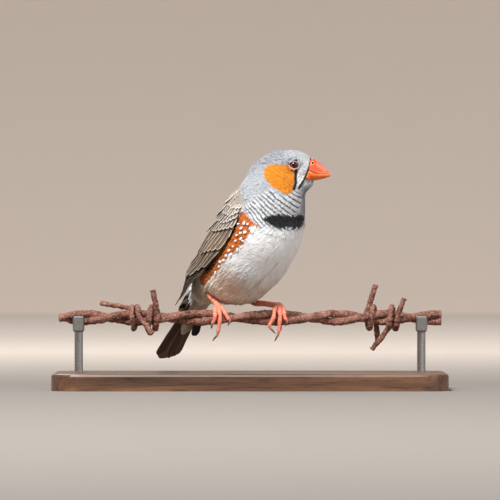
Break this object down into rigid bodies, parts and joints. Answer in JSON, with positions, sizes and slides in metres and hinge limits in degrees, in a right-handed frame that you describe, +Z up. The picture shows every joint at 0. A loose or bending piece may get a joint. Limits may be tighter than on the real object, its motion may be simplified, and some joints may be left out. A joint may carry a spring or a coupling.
{
  "type": "zebra finch on a cut length of barbed wire",
  "caption": "Life-size still model of a male zebra finch perched on a short cut length of rusty barbed wire, held over a flat base by short rods.",
  "frame": {"origin": "centre of the stand base's underside", "axes": "+Z up, +X along the wire in the direction the bill points, -Y towards the side the picture shows"},
  "size_m": [0.14, 0.0765, 0.0852],
  "materials": {
    "grey_feathers": "short soft grey feathers with an orange cheek patch, a black tear line and white lores",
    "barred_feathers": "soft feathers finely barred in black and white over a black breast band",
    "pale_feathers": "long soft white and cream belly feathers, chestnut flanks with white spots",
    "wing_feathers": "grey-brown vanes with paler edges",
    "tail_feathers": "blackish brown vanes, white coverts with black bars",
    "bill_horn": "satin orange-red horn, paler along the ridge and the cutting edges",
    "eye": "wet and glossy, red-brown iris round a black pupil",
    "leg_skin": "orange-pink scaled skin, satin, with dark horn claws",
    "rusty_wire": "rough, flaking brown-red rust",
    "stand_wood": "plain dark wood, satin",
    "stand_metal": "plain brushed steel"
  },
  "bodies": {
    "root": {"head": "grey_feathers", "neck": "barred_feathers", "torso": "pale_feathers", "wing_right": "wing_feathers", "wing_left": "wing_feathers", "tail": "tail_feathers", "bill_upper": "bill_horn", "bill_lower": "bill_horn", "eye_right": "eye", "eye_left": "eye", "leg_right": "leg_skin", "leg_left": "leg_skin", "foot_right": "leg_skin", "foot_left": "leg_skin", "wire_strand_a": "rusty_wire", "wire_strand_b": "rusty_wire", "barb_left_a": "rusty_wire", "barb_left_b": "rusty_wire", "barb_right_a": "rusty_wire", "barb_right_b": "rusty_wire", "stand_base": "stand_wood", "stand_rod_left": "stand_metal", "stand_rod_right": "stand_metal"}
  },
  "joints": []
}
